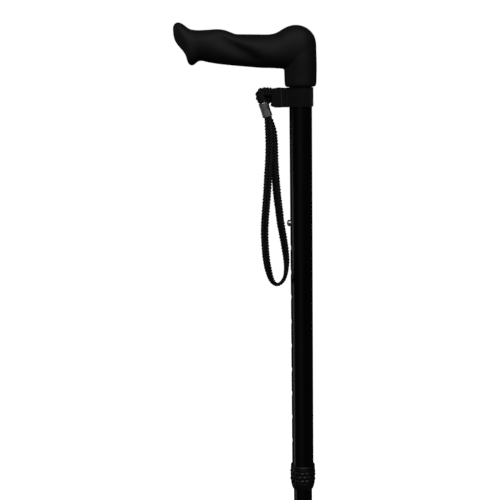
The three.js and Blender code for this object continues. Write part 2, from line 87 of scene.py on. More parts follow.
def add_camera():
    forward = Vector((0, math.cos(LOOK_DOWN), -math.sin(LOOK_DOWN)))
    level = Vector((math.cos(LEAN), 0, -math.sin(LEAN)))
    right = (level - forward * level.dot(forward)).normalized()
    turn = Matrix((right, right.cross(forward), -forward)).transposed()
    camera = bpy.data.objects.new("camera", bpy.data.cameras.new("camera"))
    bpy.context.scene.collection.objects.link(camera)
    camera.matrix_world = Matrix.Translation(TARGET - forward * CAMERA_AWAY) @ turn.to_4x4()
    camera.data.sensor_width = SENSOR_WIDTH
    camera.data.lens = LENS
    camera.data.clip_end = 60
    bpy.context.scene.camera = camera


add_camera()


# ---------- materials ----------
class Finish:
    """A node material round one Principled shader."""

    def __init__(self, name, **values):
        self.material = bpy.data.materials.new(name)
        self.material.use_nodes = True
        self.tree = self.material.node_tree
        self.shader = self.tree.nodes["Principled BSDF"]
        for socket, value in values.items():
            self.shader.inputs[socket.replace("_", " ")].default_value = value
        self.place = self.add("ShaderNodeTexCoord").outputs["Object"]

    def feed(self, socket, value):
        if isinstance(value, bpy.types.NodeSocket):
            self.tree.links.new(value, socket)
        else:
            socket.default_value = value

    def add(self, kind, inputs=(), **settings):
        node = self.tree.nodes.new(kind)
        for key, value in settings.items():
            setattr(node, key, value)
        for key, value in dict(inputs).items():
            self.feed(node.inputs[key], value)
        return node

    def noise(self, per_metre, detail=3.0, stretch=(1, 1, 1)):
        place = self.add("ShaderNodeMapping", {"Vector": self.place, "Scale": stretch}).outputs[0]
        inputs = {"Vector": place, "Scale": per_metre, "Detail": detail}
        return self.add("ShaderNodeTexNoise", inputs).outputs["Fac"]

    def cells(self, per_metre):
        cells = self.add("ShaderNodeTexVoronoi", {"Vector": self.place, "Scale": per_metre})
        return cells.outputs["Distance"]

    def wave(self, direction, pitch_mm, turn=(0, 0, 0), distortion=0.0):
        """Bands across one axis, pitch_mm apart, after a turn of the axes."""
        place = self.add("ShaderNodeMapping", {"Vector": self.place, "Rotation": turn}).outputs[0]
        inputs = {"Vector": place, "Scale": math.pi / 10 / (pitch_mm * MM), "Distortion": distortion}
        return self.add("ShaderNodeTexWave", inputs, bands_direction=direction).outputs["Fac"]

    def mix(self, operation, a, b):
        return self.add("ShaderNodeMath", {0: a, 1: b}, operation=operation).outputs[0]

    def spread(self, value, low, high, from_low=0.3, from_high=0.7):
        inputs = {"Value": value, "From Min": from_low, "From Max": from_high, "To Min": low, "To Max": high}
        return self.add("ShaderNodeMapRange", inputs).outputs[0]

    def tint(self, value, dark, light):
        node = self.add("ShaderNodeMix", data_type="RGBA")
        self.feed(node.inputs["Factor"], value)
        self.feed(node.inputs[6], (*dark, 1))
        self.feed(node.inputs[7], (*light, 1))
        return node.outputs[2]

    def made(self, colour, roughness, bumps=()):
        """bumps are (height, strength, depth in mm), coarse first."""
        self.feed(self.shader.inputs["Base Color"], colour)
        self.feed(self.shader.inputs["Roughness"], roughness)
        normal = None
        for height, strength, depth in bumps:
            inputs = {"Height": height, "Strength": strength, "Distance": depth * MM}
            if normal is not None:
                inputs["Normal"] = normal
            normal = self.add("ShaderNodeBump", inputs).outputs[0]
        if normal is not None:
            self.feed(self.shader.inputs["Normal"], normal)
        return self.material


def grey(value, warmth=0.0):
    return (value * (1 + warmth), value, value * (1 - warmth))


def moulded_grip():
    f = Finish("grip_plastic", Specular_IOR_Level=0.3)
    handled = f.noise(38, 4)
    grain = f.cells(2600)
    scuffs = f.noise(900, 5, (1, 1, 5))
    colour = f.tint(f.spread(handled, 0, 1), grey(0.0075), grey(0.0105, 0.02))
    return f.made(colour, f.spread(handled, 0.6, 0.7), [(scuffs, 0.12, 0.05), (grain, 0.22, 0.05)])


def gloss_tube():
    f = Finish("black_tube", Specular_IOR_Level=0.35, Coat_Weight=0.2, Coat_Roughness=0.08)
    peel = f.noise(420, 2)
    drawn = f.noise(1500, 3, (1, 1, 0.02))
    colour = f.tint(f.spread(f.noise(30, 3), 0, 1), grey(0.0008), grey(0.0013, -0.03))
    roughness = f.mix("ADD", f.spread(drawn, 0.0, 0.07), f.spread(f.noise(14, 4), 0.17, 0.25))
    return f.made(colour, roughness, [(peel, 0.05, 0.06), (drawn, 0.05, 0.02)])


def powder_coat():
    f = Finish("base_metal", Specular_IOR_Level=0.4)
    orange_peel = f.noise(700, 2)
    tone_mask = f.noise(60, 6)
    colour = f.tint(f.spread(tone_mask, 0, 1), grey(0.006), grey(0.010, 0.02))
    return f.made(colour, f.spread(tone_mask, 0.36, 0.5), [(orange_peel, 0.3, 0.1)])


def lock_plastic():
    f = Finish("lock_plastic", Specular_IOR_Level=0.4)
    flow = f.noise(90, 3, (1, 1, 0.3))
    colour = f.tint(f.spread(flow, 0, 1), grey(0.006), grey(0.0095))
    return f.made(colour, f.spread(flow, 0.33, 0.45), [(f.noise(1800, 3), 0.12, 0.03)])


def natural_nylon():
    f = Finish("nylon", Subsurface_Weight=0.1, Subsurface_Scale=0.002)
    flow = f.noise(70, 3)
    colour = f.tint(f.spread(flow, 0, 1), (0.52, 0.5, 0.44), (0.66, 0.64, 0.58))
    return f.made(colour, f.spread(flow, 0.42, 0.55), [(f.noise(1200, 2), 0.15, 0.04)])


def woven_webbing():
    f = Finish("webbing", Specular_IOR_Level=0.25, Sheen_Weight=0.18, Sheen_Roughness=0.45)
    rows = f.wave("Z", 0.85)
    twill = f.wave("DIAGONAL", 0.95, (0, 0.55, 0))
    weave = f.mix("MULTIPLY", rows, twill)
    fuzz = f.noise(3200, 3)
    colour = f.tint(weave, grey(0.0032), grey(0.0085, 0.02))
    return f.made(colour, f.spread(fuzz, 0.72, 0.9), [(weave, 0.55, 0.3), (fuzz, 0.3, 0.08)])


def braid_yarn():
    f = Finish("braided_cord", Specular_IOR_Level=0.28, Sheen_Weight=0.04, Sheen_Roughness=0.4)
    fibre = f.noise(2600, 4, (1, 1, 0.45))
    # Painted shade: the strands darken by their stored lift where they pass under and on their inward sides,
    # the core darkest, mixed with random tone from the noise.
    lift = f.add("ShaderNodeAttribute", attribute_name="lift").outputs["Fac"]
    tone_mask = f.mix("MULTIPLY", lift, f.spread(f.noise(110, 3), 0.75, 1.0))
    colour = f.tint(tone_mask, grey(0.001), grey(0.006, 0.0085))
    return f.made(colour, f.spread(fibre, 0.42, 0.62), [(fibre, 0.45, 0.12)])


def bright_metal():
    f = Finish("bright_metal", Metallic=1.0)
    scratch = f.noise(1300, 4, (1, 1, 0.08))
    cloud = f.noise(120, 4)
    colour = f.tint(f.spread(cloud, 0, 1), (0.4, 0.4, 0.4), (0.62, 0.62, 0.61))
    roughness = f.mix("ADD", f.spread(scratch, 0.0, 0.1), f.spread(cloud, 0.18, 0.28))
    return f.made(colour, roughness, [(scratch, 0.06, 0.02)])


def zinc_steel():
    f = Finish("steel", Metallic=1.0)
    spangle = f.cells(420)
    cloud = f.noise(260, 5)
    colour = f.tint(f.spread(cloud, 0, 1), (0.42, 0.42, 0.42), (0.6, 0.6, 0.58))
    return f.made(colour, f.spread(cloud, 0.26, 0.42), [(spangle, 0.08, 0.04), (f.noise(2400, 3), 0.1, 0.02)])


def tip_rubber():
    f = Finish("rubber", Specular_IOR_Level=0.3)
    dust = f.noise(75, 6)
    colour = f.tint(f.spread(dust, 0, 1), grey(0.012), grey(0.026, 0.04))
    return f.made(colour, f.spread(dust, 0.68, 0.86), [(f.noise(1500, 4), 0.3, 0.08)])


FINISHES = {
    "grip_plastic": moulded_grip(),
    "black_tube": gloss_tube(),
    "base_metal": powder_coat(),
    "lock_plastic": lock_plastic(),
    "nylon": natural_nylon(),
    "webbing": woven_webbing(),
    "braided_cord": braid_yarn(),
    "bright_metal": bright_metal(),
    "steel": zinc_steel(),
    "rubber": tip_rubber(),
}
SLOT_OF = {part["node"]: part["material_slot"] for part in frame["record"]["subparts"]}
BODY_OF = {node: body for body, nodes in frame["record"]["behaviour"]["bodies"].items() for node in nodes}


# ---------- mesh helpers ----------
def bump(value, reach):
    return np.exp(-((value / reach) ** 2))


def ramp(value, low, high):
    t = np.clip((value - low) / (high - low), 0, 1)
    return t * t * (3 - 2 * t)


def solid(name, points, faces, crease=40, weld=True):
    """A mesh object from points in millimetres, shaded smooth up to the crease angle in degrees."""
    mesh = bpy.data.meshes.new(name)
    mesh.from_pydata([tuple(p) for p in metres(points)], [], [tuple(map(int, face)) for face in faces])
    made = bpy.data.objects.new(name, mesh)
    bpy.context.scene.collection.objects.link(made)
    shape = bmesh.new()
    shape.from_mesh(mesh)
    if weld:
        bmesh.ops.remove_doubles(shape, verts=shape.verts, dist=0.002 * MM)
    bmesh.ops.recalc_face_normals(shape, faces=shape.faces)
    shape.to_mesh(mesh)
    shape.free()
    shade(made, crease)
    return made


def shade(piece, crease=40):
    for face in piece.data.polygons:
        face.use_smooth = True
    piece.data.set_sharp_from_angle(angle=math.radians(crease))


def skin(rings, loop=False, capped=True):
    """Points and faces of a tube through rings of equal length; loop joins the last ring to the first."""
    rings = np.asarray(rings, dtype=float)
    count, sides = rings.shape[:2]
    faces = []
    for i in range(count if loop else count - 1):
        here, there = i * sides, ((i + 1) % count) * sides
        for j in range(sides):
            k = (j + 1) % sides
            faces.append((here + j, here + k, there + k, there + j))
    if capped and not loop:
        faces.append(tuple(range(sides)))
        faces.append(tuple((count - 1) * sides + j for j in range(sides)))
    return rings.reshape(-1, 3), faces


def together(parts):
    """Several (points, faces) as one."""
    points, faces, start = [], [], 0
    for some_points, some_faces in parts:
        points.append(np.asarray(some_points, dtype=float))
        faces += [tuple(start + i for i in face) for face in some_faces]
        start += len(some_points)
    return np.concatenate(points), faces


def rounded(outline, radius, closed=True, steps=4):
    """An outline of 2-D points with its corners turned into arcs of up to that radius."""
    points = [np.array(p, dtype=float) for p in outline]
    out = []
    for i, corner in enumerate(points):
        if not closed and i in (0, len(points) - 1):
            out.append(corner)
            continue
        before, after = points[i - 1], points[(i + 1) % len(points)]
        starts = []
        for other in (before, after):
            length = np.linalg.norm(other - corner)
            starts.append(corner + (other - corner) / length * min(radius, 0.45 * length))
        for k in range(steps + 1):
            t = k / steps
            out.append((1 - t) ** 2 * starts[0] + 2 * t * (1 - t) * corner + t * t * starts[1])
    return out


def lathe(profile, sides=96, centre=(0, 0), closed=True):
    """A shape turned about Z from (radius, z) pairs: a closed section, or an open one from pole to pole."""
    angles = np.arange(sides) * TAU / sides
    rings = [
        np.stack([centre[0] + r * np.cos(angles), centre[1] + r * np.sin(angles), np.full(sides, z)], 1)
        for r, z in profile
    ]
    return skin(rings, loop=closed, capped=False)


def turned(shape, axis, place=(0, 0, 0)):
    """A shape built about Z, with its axis laid along the given direction and its origin moved."""
    turn = Vector((0, 0, 1)).rotation_difference(Vector(axis)).to_matrix()
    points, faces = shape
    return points @ np.array(turn).T + np.array(place, dtype=float), faces


def prism(outline, low, high):
    """An upright prism over a 2-D outline."""
    rings = [[(x, y, z) for x, y in outline] for z in (low, high)]
    return skin(rings)


def rod(radius, start, end, sides=32):
    start, end = np.array(start, dtype=float), np.array(end, dtype=float)
    length = np.linalg.norm(end - start)
    shape = lathe([(0, 0), (radius, 0), (radius, length), (0, length)], sides, closed=False)
    return turned(shape, (end - start) / length, start)


def hexagon(radius, turn=0.0):
    return [(radius * math.cos(turn + k * TAU / 6), radius * math.sin(turn + k * TAU / 6)) for k in range(6)]


def settled(piece, crease=40):
    """Applies a piece's modifiers to its mesh."""
    graph = bpy.context.evaluated_depsgraph_get()
    mesh = bpy.data.meshes.new_from_object(piece.evaluated_get(graph))
    piece.modifiers.clear()
    old, piece.data = piece.data, mesh
    bpy.data.meshes.remove(old)
    shade(piece, crease)
    return piece


def carve(piece, *cutters, operation="DIFFERENCE", crease=40):
    """Cuts shapes (points, faces) out of a piece."""
    tools = []
    for cutter in cutters:
        tool = solid("tool", *cutter)
        change = piece.modifiers.new("cut", "BOOLEAN")
        change.operation = operation
        change.solver = "EXACT"
        change.object = tool
        tools.append(tool)
    settled(piece, crease)
    for tool in tools:
        bpy.data.objects.remove(tool)
    return piece


def melted(piece, voxel, passes):
    """Joins overlapping solids into one skin with soft fillets, as a moulding or casting has."""
    remesh = piece.modifiers.new("join", "REMESH")
    remesh.mode = "VOXEL"
    remesh.voxel_size = voxel * MM
    smooth = piece.modifiers.new("soften", "SMOOTH")
    smooth.factor = 0.5
    smooth.iterations = passes
    return settled(piece, 75)


def chamfered(piece, width, crease=40):
    bevel = piece.modifiers.new("edge", "BEVEL")
    bevel.width = width * MM
    bevel.segments = 2
    bevel.limit_method = "ANGLE"
    bevel.angle_limit = math.radians(crease)
    bevel.harden_normals = False
    return settled(piece, crease)


def stands_for(piece, *nodes):
    """The piece takes the place, body and finish of these CAD nodes."""
    slot = SLOT_OF[nodes[0]]
    piece.data.materials.clear()
    piece.data.materials.append(FINISHES[slot])
    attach(piece, BODY_OF[nodes[0]])
    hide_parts(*nodes)
    return piece


# ---------- cords ----------
CORD_HALF_WIDTH = 4.5
NIPPED_WIDTH = 4.1  # half the cord's width at the ferrule
EYE_HALF_WIDTH = 4.6
CORD_HALF_THICK = 1.9
LOOP_ROUTE = [
    (-32.2, -2.25, 648.95), (-31.7, -2.4, 645), (-31.2, -2.8, 637), (-30.9, -3.2, 627),
    (-31.1, -3.7, 615), (-31.8, -4.6, 603), (-32.8, -5.6, 591), (-33.7, -6.7, 578),
    (-34.9, -7.8, 564), (-36.2, -8.8, 550), (-36.9, -9.4, 536), (-36.5, -9.4, 522),
    (-35.5, -8.8, 509), (-33.4, -7.4, 497), (-30.3, -4.8, 486.8), (-26, -1.4, 481.7),
    (-21.3, 2.2, 481.9), (-17.3, 5.4, 486.4), (-15.3, 7.6, 494.4), (-15, 8.8, 505),
    (-16.3, 9.2, 517), (-18.3, 8.8, 530), (-20.5, 8, 543), (-21.9, 7.1, 556),
    (-23.5, 6, 569), (-24.6, 5, 582), (-25.6, 4.1, 595), (-26.2, 3.5, 608),
    (-26.4, 3.1, 621), (-27.3, 2.7, 633), (-29.7, 2.4, 642.5), (-32.2, 2.25, 648.95),
]
EYE_ROUTE = [
    (-36.6, -2.25, 663.35), (-38.4, -2.3, 666.2), (-39.9, -2.3, 669.3), (-39.4, -2.3, 672),
    (-37.4, -2.3, 673.6), (-34.5, -2.2, 673.7), (-31, -2.2, 673.3), (-27.2, -2.1, 672.8),
    (-24.8, -1.4, 671.9), (-24, 0, 670.8), (-24.8, 1.4, 669.4), (-27.2, 2.1, 667.3),
    (-30, 2.2, 666.3), (-33, 2.3, 665.9), (-35.6, 2.3, 665.4), (-36.7, 2.3, 664.4),
    (-36.6, 2.25, 663.35),
]
# How far the flat cord is twisted from facing front, in degrees, at these shares of the loop's length.
TWIST_AT = (0, 0.15, 0.44, 0.52, 0.6, 0.74, 1)
TWIST_DEGREES = (0, 14, 34, 90, 148, 172, 180)
TUCKED = 3.0  # how far a cord's ends run on into the ferrule


def unit(v):
    return v / np.linalg.norm(v, axis=-1, keepdims=True)


def smooth_route(route, step):
    """A Catmull-Rom curve through the route, as points `step` apart, in millimetres."""
    p = np.array(route, dtype=float)
    p = np.concatenate([[2 * p[0] - p[1]], p, [2 * p[-1] - p[-2]]])
    t = np.linspace(0, 1, 24, endpoint=False)[:, None]
    dense = [
        0.5 * (2 * b + (c - a) * t + (2 * a - 5 * b + 4 * c - d) * t**2 + (3 * b - a - 3 * c + d) * t**3)
        for a, b, c, d in zip(p[:-3], p[1:-2], p[2:-1], p[3:])
    ]
    dense = np.concatenate([*dense, [p[-2]]])
    along = np.concatenate([[0], np.cumsum(np.linalg.norm(np.diff(dense, axis=0), axis=1))])
    places = np.linspace(0, along[-1], max(2, round(along[-1] / step)) + 1)
    return np.stack([np.interp(places, along, dense[:, k]) for k in range(3)], 1)


def lengthened(line, extra):
    start = line[0] - unit(line[1] - line[0]) * extra
    end = line[-1] + unit(line[-1] - line[-2]) * extra
    return np.concatenate([[start], line, [end]])


def carried_frames(line, first):
    """Two side directions along a line, turned with it as little as possible; `first` starts near `first`."""
    tangents = unit(np.gradient(line, axis=0))
    side = np.array(first, dtype=float)
    firsts = []
    for tangent in tangents:
        side = unit(side - tangent * side.dot(tangent))
        firsts.append(side)
    firsts = np.array(firsts)
    return firsts, np.cross(tangents, firsts)


def hanging_frames(line):
    """The flat cord faces the front, but for a half twist where the loop turns at the bottom."""
    tangents = unit(np.gradient(line, axis=0))
    flat = unit(np.cross(tangents, (0, 1, 0)))
    along = np.linspace(0, 1, len(line))
    knots = np.interp(along, TWIST_AT, TWIST_DEGREES)
    blur = np.ones(41) / 41
    twist = np.radians(np.convolve(np.pad(knots, 20, mode="edge"), blur, mode="valid"))[:, None]
    wide = flat * np.cos(twist) + np.cross(tangents, flat) * np.sin(twist)
    return wide, np.cross(wide, tangents)


def bight_frames(line):
    """The cord stands on edge, one run beside the other, and turns flat round the end of the pocket."""
    tangents = unit(np.gradient(line, axis=0))
    turn = math.pi * ramp(np.arange(len(line)) - np.argmax(line[:, 0]), -9, 9)
    thin = np.stack([np.sin(turn), -np.cos(turn), np.zeros(len(line))], 1)
    thin = unit(thin - tangents * (thin * tangents).sum(1, keepdims=True))
    return np.cross(tangents, thin), thin


def braid(name, line, wide, thin, half_wide, half_thin, carriers=4, pitch=11.5):
    """A flat tubular braid, two strands over and two under, and the core it is laid on.

    The mesh attribute "lift" runs from 0 where a strand goes under to 1 where it lies on top, lower again on
    each strand's inward side and 0 on the core; the braid finish paints shade by it.
    """
    strand_width, strand_thick, weave = 1.02, 0.6, 0.42
    a = half_wide - strand_thick - weave
    b = half_thin - strand_thick - weave
    table = np.linspace(0, TAU, 361)
    edge = np.stack([a.max() * np.cos(table), b * np.sin(table)], 1)
    walked = np.concatenate([[0], np.cumsum(np.linalg.norm(np.diff(edge, axis=0), axis=1))])
    walked /= walked[-1]
    along = np.concatenate([[0], np.cumsum(np.linalg.norm(np.diff(line, axis=0), axis=1))])
    section = np.arange(8) * TAU / 8
    parts = []
    lifts = []
    for direction in (1, -1):
        for carrier in range(carriers):
            share = (direction * along / pitch + carrier / carriers) % 1
            angle = np.interp(share, walked, table)
            crossing = 2 * carriers * along / pitch
            if direction > 0:
                over = np.cos(math.pi / 2 * (crossing + 2 * carrier - 0.5))
            else:
                over = -np.cos(math.pi / 2 * (2 * carrier - crossing - 0.5))
            lift = (weave * np.clip(1.5 * over, -1, 1))[:, None]
            out = unit((np.cos(angle) / a)[:, None] * wide + (np.sin(angle) / b)[:, None] * thin)
            core = line + (a * np.cos(angle))[:, None] * wide + (b * np.sin(angle))[:, None] * thin
            middle = core + out * lift
            side = unit(np.cross(unit(np.gradient(middle, axis=0)), out))
            rings = (
                middle[:, None]
                + side[:, None] * (strand_width * np.cos(section))[None, :, None]
                + out[:, None] * (strand_thick * np.sin(section))[None, :, None]
            )
            parts.append(skin(rings))
            # The stored lift is painted shade: lower where the strand dips under and on its inward side.
            height = lift[:, :1] / weave * 0.5 + 0.5
            lifts.append(np.clip(height * (0.55 + 0.45 * np.sin(section))[None, :], 0, 1).ravel())
    around = np.arange(16) * TAU / 16
    rings = (
        line[:, None]
        + wide[:, None] * (a - 0.1)[:, None, None] * np.cos(around)[None, :, None]
        + thin[:, None] * ((b - 0.1) * np.sin(around))[None, :, None]
    )
    parts.append(skin(rings))
    # The core gets no lift, so it is painted in full shade.
    lifts.append(np.zeros(len(line) * len(around)))
    piece = solid(name, *together(parts), 60, weld=False)
    piece.data.attributes.new("lift", "FLOAT", "POINT").data.foreach_set("value", np.concatenate(lifts))
    return piece


def make_cords():
    loop = smooth_route(LOOP_ROUTE, 0.5)
    run = lengthened(loop, TUCKED)
    walked = np.concatenate([[0], np.cumsum(np.linalg.norm(np.diff(run, axis=0), axis=1))])
    from_end = np.minimum(walked, walked[-1] - walked)
    widths = NIPPED_WIDTH + (CORD_HALF_WIDTH - NIPPED_WIDTH) * ramp(from_end, TUCKED, 16)
    wrist = braid("wrist_cord_braid", run, *hanging_frames(run), widths, CORD_HALF_THICK)
    stands_for(wrist, "wrist_cord")

    bight = smooth_route(EYE_ROUTE, 0.4)
    run = lengthened(bight, TUCKED)
    eye = braid("eye_cord_braid", run, *bight_frames(run), np.full(len(run), EYE_HALF_WIDTH), CORD_HALF_THICK)
    eye.data.materials.append(FINISHES["braided_cord"])
    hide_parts("eye_cord")
    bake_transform(eye)

    ferrule = make_ferrule()


FERRULE_LOW = (-32.3, 649.3)
FERRULE_HIGH = (-36.5, 663)


def make_ferrule():
    """A bright sleeve pressed round both strands, its mouths rolled and its middle nipped in."""
    half_x, half_y, wall = 4.9, 5.1, 0.55
    length = math.hypot(FERRULE_HIGH[0] - FERRULE_LOW[0], FERRULE_HIGH[1] - FERRULE_LOW[1])
    angles = np.arange(72) * TAU / 72

    def ring(inset, height):
        nip = 0.22 * math.exp(-(((height - 0.45 * length) / 3.4) ** 2))
        x = (half_x - inset - nip) * np.sign(np.cos(angles)) * np.abs(np.cos(angles)) ** (2 / 3.2)
        y = (half_y - inset - nip) * np.sign(np.sin(angles)) * np.abs(np.sin(angles)) ** (2 / 3.2)
        return np.stack([x, y, np.full(72, height)], 1)

    lip = 0.3
    outer = [(0.25, 0)] + [(0, lip + k * (length - 2 * lip) / 40) for k in range(41)] + [(0.25, length)]
    inner = [(wall, height) for _, height in reversed(outer)]
    shape = skin([ring(*pair) for pair in outer + inner], loop=True)
    lean = (FERRULE_HIGH[0] - FERRULE_LOW[0], 0, FERRULE_HIGH[1] - FERRULE_LOW[1])
    shape = turned(shape, unit(np.array(lean)), (FERRULE_LOW[0], 0, FERRULE_LOW[1]))
    ferrule = solid("cord_ferrule_crimped", *shape)
    return stands_for(ferrule, "cord_ferrule")


make_cords()


# ---------- palm grip ----------
# Stations from nose to dome: (top x, top z, bottom x, bottom z, half width).
GRIP_STATIONS = [
    (-122.5, 732.9, -122.5, 732.9, 0), (-122.2, 737.5, -122, 727.4, 4.5),
    (-119.9, 740.1, -120.6, 722.8, 7.5), (-117, 740.8, -117.6, 718.3, 9.3),
    (-112.8, 739, -113.6, 713.6, 11.3), (-108.5, 735.6, -110.9, 709, 12.3),
    (-105.6, 734.1, -109.4, 703.7, 12.8), (-103.8, 733.7, -107.6, 700.6, 13),
    (-102.2, 733.4, -105, 699.6, 13.2), (-100.2, 733.2, -102.2, 700.9, 13.3),
    (-97.5, 733.1, -99.5, 703.2, 13.5), (-93.5, 733.2, -96, 704, 13.8),
    (-87, 733.5, -89, 702.4, 14.3), (-79.6, 733.8, -80, 700.8, 15),
    (-72.5, 732.8, -72, 699.8, 15.8), (-66, 730.3, -65, 699, 16.6),
    (-61.5, 728.9, -58, 698.3, 17.3), (-50, 728.5, -48, 697.3, 18.6),
    (-38, 728.2, -38, 696.4, 19.3), (-29, 728.2, -29, 696.1, 19.4),
    (-22.5, 729.8, -22, 695.6, 19), (-17, 733, -15, 695.2, 18.5),
    (-10.5, 735.8, -9, 695.1, 18.2), (-4, 736.7, -3, 695, 18),
    (3.5, 735.1, 4, 695.5, 16.7), (9.5, 731.2, 9.5, 697, 13.1),
    (13.5, 726, 13.2, 701, 8), (15.2, 720, 15, 707, 3.7),
    (15.5, 714, 15.5, 714, 0),
]
PALM_HALF_WIDTH = 19.4
GRIP_SQUARENESS = 2.3
CREST_FROM = np.array([-80.5, 734.3])
CREST_TO = np.array([-36, 707.1])
SOCKET_R = 15.5
SOCKET_BOTTOM = 677.6
SOCKET_TOP = 722.4
SCREW_Z = 686
NECK_FLARE = 0.1  # how much the neck widens across the grip where it meets the dome


def near_hollow(x, z):
    """The near side's thumb channel under the twisted crest, the swell below it and the shelf above."""
    length = np.linalg.norm(CREST_TO - CREST_FROM)
    run = (CREST_TO - CREST_FROM) / length
    along = (x - CREST_FROM[0]) * run[0] + (z - CREST_FROM[1]) * run[1]
    above = (z - CREST_FROM[1]) * run[0] - (x - CREST_FROM[0]) * run[1]
    ends = ramp(along, -6, 12) * (1 - ramp(along, length - 8, length + 10))
    channel = 3.6 * bump(above + 6, np.where(above > -6, 4.6, 8)) * ends
    swell = -1.2 * bump(above + 21, 7) * bump(along - 24, 20)
    shelf = 2.2 * ramp(above, 3, 20) * ramp(x, -72, -50) * (1 - ramp(x, -34, -12))
    undercut = 4.2 * ramp(726 - z, 0, 30) * ramp(-x, 52, 76) * (1 - ramp(-x, 96, 108))
    return channel + swell + shelf + undercut


def far_hollow(x, z):
    return 1.8 * bump(z - 713, 6) * ramp(x, -98, -84) * (1 - ramp(x, -48, -34))


def grip_rings(per_station=8, sides=120):
    s = np.array(GRIP_STATIONS, dtype=float)
    mirrored = [[row[2], row[3], row[0], row[1], -row[4]] for row in (s[1], s[-2])]
    s = np.concatenate([[mirrored[0]], s, [mirrored[1]]])
    t = np.linspace(0, 1, per_station, endpoint=False)[:, None]
    rows = np.concatenate([
        0.5 * (2 * b + (c - a) * t + (2 * a - 5 * b + 4 * c - d) * t**2 + (3 * b - a - 3 * c + d) * t**3)
        for a, b, c, d in zip(s[:-3], s[1:-2], s[2:-1], s[3:])
    ] + [[s[-2]]])
    angles = np.arange(sides) * TAU / sides
    power = 2 / GRIP_SQUARENESS
    up = np.sign(np.sin(angles)) * np.abs(np.sin(angles)) ** power
    side = np.sign(np.cos(angles)) * np.abs(np.cos(angles)) ** power
    rings = []
    for top_x, top_z, bottom_x, bottom_z, half in rows:
        x = (top_x + bottom_x) / 2 + up * (top_x - bottom_x) / 2
        z = (top_z + bottom_z) / 2 + up * (top_z - bottom_z) / 2
        hollow = np.where(side < 0, near_hollow(x, z), far_hollow(x, z))
        rings.append(np.stack([x, side * half * (1 - hollow / PALM_HALF_WIDTH), z], 1))
    return rings


def make_grip():
    neck = rounded(
        [
            (0, SOCKET_BOTTOM),
            (SOCKET_R - 0.9, SOCKET_BOTTOM),
            (SOCKET_R, SOCKET_BOTTOM + 3),
            (SOCKET_R + 0.2, SOCKET_BOTTOM + 9),
            (SOCKET_R + 0.4, SOCKET_BOTTOM + 18.4),
            (SOCKET_R + 0.3, SOCKET_BOTTOM + 26),
            (SOCKET_R, SOCKET_BOTTOM + 36),
            (SOCKET_R - 2.5, SOCKET_BOTTOM + 43),
            (0, SOCKET_BOTTOM + 46),
        ],
        2.2,
        closed=False,
    )
    points, faces = lathe(neck, 96, closed=False)
    points[:, 1] *= 1 + NECK_FLARE * ramp(points[:, 2], SOCKET_BOTTOM + 5, SOCKET_BOTTOM + 32)
    shape = together([skin(grip_rings(), capped=False), (points, faces)])
    grip = melted(solid("handle_grip_moulded", *shape), 0.7, 16)
    bore = rod(11.25, (0, 0, SOCKET_BOTTOM - 6), (0, 0, SOCKET_TOP), 96)
    shank = rod(2.1, (0, 8, SCREW_Z), (0, 25, SCREW_Z))
    seat = rod(4.3, (0, 13, SCREW_Z), (0, 25, SCREW_Z), 48)
    carve(grip, bore, shank, seat, crease=50)
    stands_for(grip, "handle_grip")


def make_screw():
    low, high = span("handle_screw")
    tip, head = low[1], high[1]
    thread = []
    for k in range(int((head - tip - 6) / 0.35)):
        thread.append((1.9 if k % 2 else 1.55, tip + 3 + 0.35 * k))
    profile = [(0, tip), (0.9, tip + 0.6), *thread, (1.9, head - 2.4)]
    cap = [(1.9, head - 2.4), (4, head - 1.4), (4, head - 0.8), (0, head - 0.05)]
    profile += rounded(cap, 0.6, closed=False)
    shape = turned(lathe([(r, y - tip) for r, y in profile], 40, closed=False), (0, 1, 0), (0, tip, SCREW_Z))
    screw = solid("handle_screw_turned", *shape)
    slots = [
        turned(prism([(-a, -b), (a, -b), (a, b), (-a, b)], head - 1.1, head + 1), (0, 1, 0), (0, 0, SCREW_Z))
        for a, b in ((2.1, 0.42), (0.42, 2.1))
    ]
    carve(screw, *slots)
    stands_for(screw, "handle_screw")


# ---------- shaft ----------
HOLE_COUNT = 10
HOLE_PITCH = 25.4
HOLE_TOP = 543.8
HOLE_R = 3.5
TUBE_WALL = 1.2
BUTTON_R, BUTTON_DOME = 3.2, 1.7


def tube_piece(name, inner, outer, low, high, holes):
    """A thin tube with rolled ends and chamfered holes on its strap side."""
    rows = np.arange(low + 3, high - 3, 6.35)
    rim = 0.35
    section = [(outer - rim, low), (outer, low + rim), *[(outer, z) for z in rows], (outer, high - rim)]
    section += [(outer - rim, high), (inner, high), *[(inner, z) for z in rows[::-1]], (inner, low)]
    tube = solid(name, *lathe(section, 128))
    if holes:
        carve(tube, *[rod(HOLE_R, (-outer - 3, 0, z), (-inner + 4, 0, z), 40) for z in holes], crease=35)
        chamfered(tube, 0.22, 35)
    return tube


def make_tubes():
    heights = [HOLE_TOP - k * HOLE_PITCH for k in range(HOLE_COUNT)]
    (_, _, low), (outer, _, high) = span("upper_tube")
    stands_for(tube_piece("upper_tube_drawn", outer - TUBE_WALL, outer, low, high, heights), "upper_tube")
    (_, _, low), (outer, _, high) = span("lower_tube")
    stands_for(tube_piece("lower_tube_drawn", outer - TUBE_WALL, outer, low, high, [HOLE_TOP]), "lower_tube")


def make_button():
    low, high = span("height_button")
    inner = -high[0]
    length = -low[0] - inner
    shoulder = length - BUTTON_DOME
    profile = [(0, 0), (BUTTON_R, 0), (BUTTON_R, shoulder)]
    for a in np.linspace(0.1, 1.5, 10):
        profile.append((BUTTON_R * math.cos(a), shoulder + BUTTON_DOME * math.sin(a)))
    profile.append((0, length))
    shape = turned(lathe(profile, 48, closed=False), (-1, 0, 0), (-inner, 0, HOLE_TOP))
    stands_for(solid("height_button_domed", *shape), "height_button")


# ---------- locking collar ----------
PAD_COUNT = 13
PAD_ROWS = 3
PAD_LOW, PAD_HIGH = 271.8, 284.4
PAD_ROOT, PAD_RISE = 11.95, 1.3


